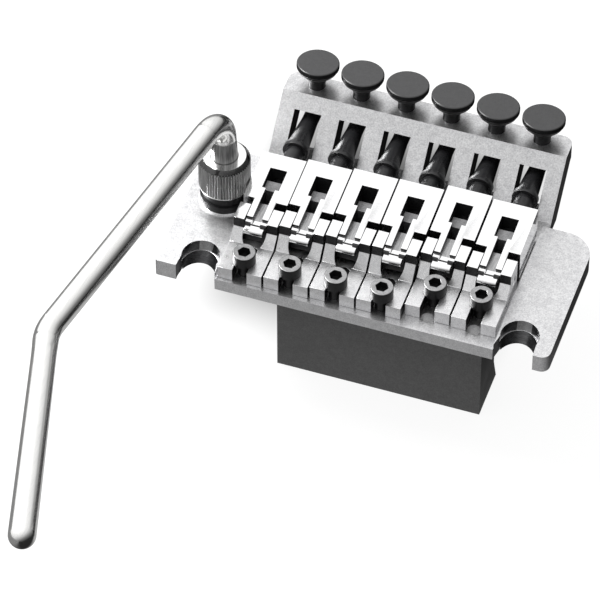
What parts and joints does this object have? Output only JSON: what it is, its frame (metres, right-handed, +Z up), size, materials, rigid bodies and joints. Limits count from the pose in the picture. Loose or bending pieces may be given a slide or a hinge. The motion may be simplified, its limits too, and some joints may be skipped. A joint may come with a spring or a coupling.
{
  "type": "guitar tremolo bridge",
  "caption": "Double-locking knife-edge tremolo bridge: plate with wings, tilting saddles with string locks, fine tuners, sustain block and a swinging arm.",
  "frame": {"origin": "middle of the knife-edge pivot axis, halfway between the two studs", "axes": "+X along the pivot axis to the bass side, +Y back to the fine tuners, +Z up out of the guitar's body; the arm is on the -X side"},
  "size_m": [0.0993, 0.1663, 0.0657],
  "materials": {
    "satin_nickel": "grainy satin nickel plating",
    "polished_chrome": "polished chrome plating",
    "arm_chrome": "polished chrome plating",
    "black_steel": "black oxide, semi-gloss",
    "tuner_black": "black, matte top face",
    "block_grey": "dark grey, matte",
    "clamp_grey": "grey, matte",
    "knurled_nickel": "knurled satin nickel with a bright rim",
    "spring_steel": "plain steel",
    "white_plastic": "white nylon"
  },
  "bodies": {
    "bridge": {"base_plate": "satin_nickel", "sustain_block": "block_grey", "block_screws": "black_steel", "hold_down_screws": "black_steel", "leaf_springs": "spring_steel", "leaf_spring_screws": "black_steel", "socket_washer": "polished_chrome", "arm_socket": "black_steel", "socket_nut": "spring_steel"},
    "thrust_ring": {"thrust_ring": "white_plastic"},
    "collar": {"collar_nut": "knurled_nickel"},
    "arm": {"arm": "arm_chrome"},
    "saddle_foot_1": {"saddle_base_1": "polished_chrome", "pivot_pin_1": "polished_chrome"},
    "saddle_top_1": {"saddle_block_1": "polished_chrome"},
    "clamp_1": {"clamp_block_1": "clamp_grey"},
    "lock_1": {"lock_screw_1": "black_steel"},
    "tuner_shank_1": {"tuner_screw_1": "black_steel"},
    "tuner_head_1": {"tuner_knob_1": "tuner_black"},
    "saddle_foot_2": {"saddle_base_2": "polished_chrome", "pivot_pin_2": "polished_chrome"},
    "saddle_top_2": {"saddle_block_2": "polished_chrome"},
    "clamp_2": {"clamp_block_2": "clamp_grey"},
    "lock_2": {"lock_screw_2": "black_steel"},
    "tuner_shank_2": {"tuner_screw_2": "black_steel"},
    "tuner_head_2": {"tuner_knob_2": "tuner_black"},
    "saddle_foot_3": {"saddle_base_3": "polished_chrome", "pivot_pin_3": "polished_chrome"},
    "saddle_top_3": {"saddle_block_3": "polished_chrome"},
    "clamp_3": {"clamp_block_3": "clamp_grey"},
    "lock_3": {"lock_screw_3": "black_steel"},
    "tuner_shank_3": {"tuner_screw_3": "black_steel"},
    "tuner_head_3": {"tuner_knob_3": "tuner_black"},
    "saddle_foot_4": {"saddle_base_4": "polished_chrome", "pivot_pin_4": "polished_chrome"},
    "saddle_top_4": {"saddle_block_4": "polished_chrome"},
    "clamp_4": {"clamp_block_4": "clamp_grey"},
    "lock_4": {"lock_screw_4": "black_steel"},
    "tuner_shank_4": {"tuner_screw_4": "black_steel"},
    "tuner_head_4": {"tuner_knob_4": "tuner_black"},
    "saddle_foot_5": {"saddle_base_5": "polished_chrome", "pivot_pin_5": "polished_chrome"},
    "saddle_top_5": {"saddle_block_5": "polished_chrome"},
    "clamp_5": {"clamp_block_5": "clamp_grey"},
    "lock_5": {"lock_screw_5": "black_steel"},
    "tuner_shank_5": {"tuner_screw_5": "black_steel"},
    "tuner_head_5": {"tuner_knob_5": "tuner_black"},
    "saddle_foot_6": {"saddle_base_6": "polished_chrome", "pivot_pin_6": "polished_chrome"},
    "saddle_top_6": {"saddle_block_6": "polished_chrome"},
    "clamp_6": {"clamp_block_6": "clamp_grey"},
    "lock_6": {"lock_screw_6": "black_steel"},
    "tuner_shank_6": {"tuner_screw_6": "black_steel"},
    "tuner_head_6": {"tuner_knob_6": "tuner_black"}
  },
  "joints": [
    {"name": "collar_lift", "type": "slide", "parent": "bridge", "child": "thrust_ring", "axis": [0, 0, 1], "range_m": [0, 0.0025]},
    {"name": "collar_turn", "type": "hinge", "parent": "thrust_ring", "child": "collar", "pos_m": [-0.038, 0.0149, 0.00235], "axis": [0, 0, 1], "range_deg": [-0.5, 900.5]},
    {"name": "arm_swing", "type": "hinge", "parent": "bridge", "child": "arm", "pos_m": [-0.038, 0.0149, 0.00235], "axis": [0, 0, 1], "continuous": true},
    {"name": "intonation_1", "type": "slide", "parent": "bridge", "child": "saddle_foot_1", "axis": [0, 1, 0], "range_m": [-0.0015, 0.001]},
    {"name": "saddle_tilt_1", "type": "hinge", "parent": "saddle_foot_1", "child": "saddle_top_1", "pos_m": [-0.02675, 0.00595, 0.00555], "axis": [1, 0, 0], "range_deg": [-2.31, 0.73]},
    {"name": "clamp_slide_1", "type": "slide", "parent": "saddle_top_1", "child": "clamp_1", "axis": [0, 1, 0], "range_m": [0, 0.0024]},
    {"name": "lock_turn_1", "type": "hinge", "parent": "clamp_1", "child": "lock_1", "pos_m": [-0.02675, 0.0307, 0.00495], "axis": [0, 1, 0], "range_deg": [-0.5, 1080.5]},
    {"name": "tuner_travel_1", "type": "slide", "parent": "bridge", "child": "tuner_shank_1", "axis": [0, 0.1219, 0.9925], "range_m": [-0.0016, 0.0005]},
    {"name": "tuner_turn_1", "type": "hinge", "parent": "tuner_shank_1", "child": "tuner_head_1", "pos_m": [-0.02675, 0.04617, 0.012], "axis": [0, 0.1219, 0.9925], "range_deg": [-823.36, 257.64]},
    {"name": "intonation_2", "type": "slide", "parent": "bridge", "child": "saddle_foot_2", "axis": [0, 1, 0], "range_m": [-0.0015, 0.001]},
    {"name": "saddle_tilt_2", "type": "hinge", "parent": "saddle_foot_2", "child": "saddle_top_2", "pos_m": [-0.01605, 0.00625, 0.00611], "axis": [1, 0, 0], "range_deg": [-2.32, 0.73]},
    {"name": "clamp_slide_2", "type": "slide", "parent": "saddle_top_2", "child": "clamp_2", "axis": [0, 1, 0], "range_m": [0, 0.0024]},
    {"name": "lock_turn_2", "type": "hinge", "parent": "clamp_2", "child": "lock_2", "pos_m": [-0.01605, 0.031, 0.00495], "axis": [0, 1, 0], "range_deg": [-0.5, 1080.5]},
    {"name": "tuner_travel_2", "type": "slide", "parent": "bridge", "child": "tuner_shank_2", "axis": [0, 0.1219, 0.9925], "range_m": [-0.0016, 0.0005]},
    {"name": "tuner_turn_2", "type": "hinge", "parent": "tuner_shank_2", "child": "tuner_head_2", "pos_m": [-0.01605, 0.04617, 0.012], "axis": [0, 0.1219, 0.9925], "range_deg": [-823.36, 257.64]},
    {"name": "intonation_3", "type": "slide", "parent": "bridge", "child": "saddle_foot_3", "axis": [0, 1, 0], "range_m": [-0.0015, 0.001]},
    {"name": "saddle_tilt_3", "type": "hinge", "parent": "saddle_foot_3", "child": "saddle_top_3", "pos_m": [-0.00535, 0.00665, 0.0064], "axis": [1, 0, 0], "range_deg": [-2.35, 0.74]},
    {"name": "clamp_slide_3", "type": "slide", "parent": "saddle_top_3", "child": "clamp_3", "axis": [0, 1, 0], "range_m": [0, 0.0024]},
    {"name": "lock_turn_3", "type": "hinge", "parent": "clamp_3", "child": "lock_3", "pos_m": [-0.00535, 0.0314, 0.00495], "axis": [0, 1, 0], "range_deg": [-0.5, 1080.5]},
    {"name": "tuner_travel_3", "type": "slide", "parent": "bridge", "child": "tuner_shank_3", "axis": [0, 0.1219, 0.9925], "range_m": [-0.0016, 0.0005]},
    {"name": "tuner_turn_3", "type": "hinge", "parent": "tuner_shank_3", "child": "tuner_head_3", "pos_m": [-0.00535, 0.04617, 0.012], "axis": [0, 0.1219, 0.9925], "range_deg": [-823.36, 257.64]},
    {"name": "intonation_4", "type": "slide", "parent": "bridge", "child": "saddle_foot_4", "axis": [0, 1, 0], "range_m": [-0.0015, 0.001]},
    {"name": "saddle_tilt_4", "type": "hinge", "parent": "saddle_foot_4", "child": "saddle_top_4", "pos_m": [0.00535, 0.00685, 0.0064], "axis": [1, 0, 0], "range_deg": [-2.36, 0.74]},
    {"name": "clamp_slide_4", "type": "slide", "parent": "saddle_top_4", "child": "clamp_4", "axis": [0, 1, 0], "range_m": [0, 0.0024]},
    {"name": "lock_turn_4", "type": "hinge", "parent": "clamp_4", "child": "lock_4", "pos_m": [0.00535, 0.0316, 0.00495], "axis": [0, 1, 0], "range_deg": [-0.5, 1080.5]},
    {"name": "tuner_travel_4", "type": "slide", "parent": "bridge", "child": "tuner_shank_4", "axis": [0, 0.1219, 0.9925], "range_m": [-0.0016, 0.0005]},
    {"name": "tuner_turn_4", "type": "hinge", "parent": "tuner_shank_4", "child": "tuner_head_4", "pos_m": [0.00535, 0.04617, 0.012], "axis": [0, 0.1219, 0.9925], "range_deg": [-823.36, 257.64]},
    {"name": "intonation_5", "type": "slide", "parent": "bridge", "child": "saddle_foot_5", "axis": [0, 1, 0], "range_m": [-0.0003, 0.0013]},
    {"name": "saddle_tilt_5", "type": "hinge", "parent": "saddle_foot_5", "child": "saddle_top_5", "pos_m": [0.01605, 0.00875, 0.00611], "axis": [1, 0, 0], "range_deg": [-2.48, 0.78]},
    {"name": "clamp_slide_5", "type": "slide", "parent": "saddle_top_5", "child": "clamp_5", "axis": [0, 1, 0], "range_m": [0, 0.0024]},
    {"name": "lock_turn_5", "type": "hinge", "parent": "clamp_5", "child": "lock_5", "pos_m": [0.01605, 0.0335, 0.00495], "axis": [0, 1, 0], "range_deg": [-0.5, 1080.5]},
    {"name": "tuner_travel_5", "type": "slide", "parent": "bridge", "child": "tuner_shank_5", "axis": [0, 0.1219, 0.9925], "range_m": [-0.0016, 0.0005]},
    {"name": "tuner_turn_5", "type": "hinge", "parent": "tuner_shank_5", "child": "tuner_head_5", "pos_m": [0.01605, 0.04617, 0.012], "axis": [0, 0.1219, 0.9925], "range_deg": [-823.36, 257.64]},
    {"name": "intonation_6", "type": "slide", "parent": "bridge", "child": "saddle_foot_6", "axis": [0, 1, 0], "range_m": [-0.0003, 0.0013]},
    {"name": "saddle_tilt_6", "type": "hinge", "parent": "saddle_foot_6", "child": "saddle_top_6", "pos_m": [0.02675, 0.00855, 0.00555], "axis": [1, 0, 0], "range_deg": [-2.47, 0.78]},
    {"name": "clamp_slide_6", "type": "slide", "parent": "saddle_top_6", "child": "clamp_6", "axis": [0, 1, 0], "range_m": [0, 0.0024]},
    {"name": "lock_turn_6", "type": "hinge", "parent": "clamp_6", "child": "lock_6", "pos_m": [0.02675, 0.0333, 0.00495], "axis": [0, 1, 0], "range_deg": [-0.5, 1080.5]},
    {"name": "tuner_travel_6", "type": "slide", "parent": "bridge", "child": "tuner_shank_6", "axis": [0, 0.1219, 0.9925], "range_m": [-0.0016, 0.0005]},
    {"name": "tuner_turn_6", "type": "hinge", "parent": "tuner_shank_6", "child": "tuner_head_6", "pos_m": [0.02675, 0.04617, 0.012], "axis": [0, 0.1219, 0.9925], "range_deg": [-823.36, 257.64]}
  ],
  "couplings": [
    {"joint": "collar_turn", "follows": "collar_lift", "rad_per_m": 6283.2},
    {"joint": "saddle_tilt_1", "follows": "tuner_travel_1", "rad_per_m": 25.052},
    {"joint": "tuner_turn_1", "follows": "tuner_travel_1", "rad_per_m": 8976},
    {"joint": "lock_turn_1", "follows": "clamp_slide_1", "rad_per_m": 7854},
    {"joint": "saddle_tilt_2", "follows": "tuner_travel_2", "rad_per_m": 25.243},
    {"joint": "tuner_turn_2", "follows": "tuner_travel_2", "rad_per_m": 8976},
    {"joint": "lock_turn_2", "follows": "clamp_slide_2", "rad_per_m": 7854},
    {"joint": "saddle_tilt_3", "follows": "tuner_travel_3", "rad_per_m": 25.503},
    {"joint": "tuner_turn_3", "follows": "tuner_travel_3", "rad_per_m": 8976},
    {"joint": "lock_turn_3", "follows": "clamp_slide_3", "rad_per_m": 7854},
    {"joint": "saddle_tilt_4", "follows": "tuner_travel_4", "rad_per_m": 25.634},
    {"joint": "tuner_turn_4", "follows": "tuner_travel_4", "rad_per_m": 8976},
    {"joint": "lock_turn_4", "follows": "clamp_slide_4", "rad_per_m": 7854},
    {"joint": "saddle_tilt_5", "follows": "tuner_travel_5", "rad_per_m": 26.957},
    {"joint": "tuner_turn_5", "follows": "tuner_travel_5", "rad_per_m": 8976},
    {"joint": "lock_turn_5", "follows": "clamp_slide_5", "rad_per_m": 7854},
    {"joint": "saddle_tilt_6", "follows": "tuner_travel_6", "rad_per_m": 26.812},
    {"joint": "tuner_turn_6", "follows": "tuner_travel_6", "rad_per_m": 8976},
    {"joint": "lock_turn_6", "follows": "clamp_slide_6", "rad_per_m": 7854}
  ]
}
